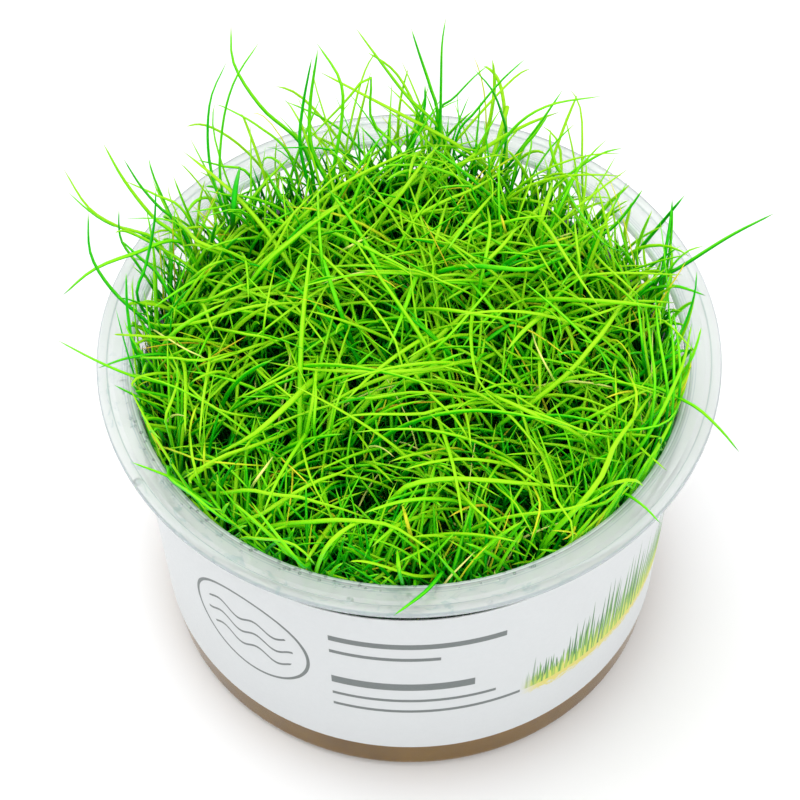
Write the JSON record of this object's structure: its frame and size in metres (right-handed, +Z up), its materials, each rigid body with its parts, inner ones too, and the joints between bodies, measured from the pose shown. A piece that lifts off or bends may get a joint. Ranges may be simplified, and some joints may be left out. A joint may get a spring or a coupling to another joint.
{
  "type": "dwarf hairgrass in a clear cup",
  "caption": "Dense tuft of dwarf hairgrass, fine green needle blades, growing from gel in a clear round plastic cup with a wide flange and a plain wrap label.",
  "frame": {"origin": "centre of the flat underside of the cup, on the surface it stands on", "axes": "+Z up along the cup's axis, -Y towards the side the label faces, +X to the right seen from there"},
  "size_m": [0.1143, 0.1011, 0.095],
  "materials": {
    "clear_plastic": "clear, glossy, lightly scuffed",
    "label_paper": "white coated label paper, satin, printed in grey and green",
    "gel": "olive-brown gel, moist, slightly cloudy",
    "grass": "living leaf, bright lime to deep green, soft sheen"
  },
  "bodies": {
    "root": {"cup": "clear_plastic", "label": "label_paper", "growth_gel": "gel", "hairgrass": "grass"}
  },
  "joints": []
}
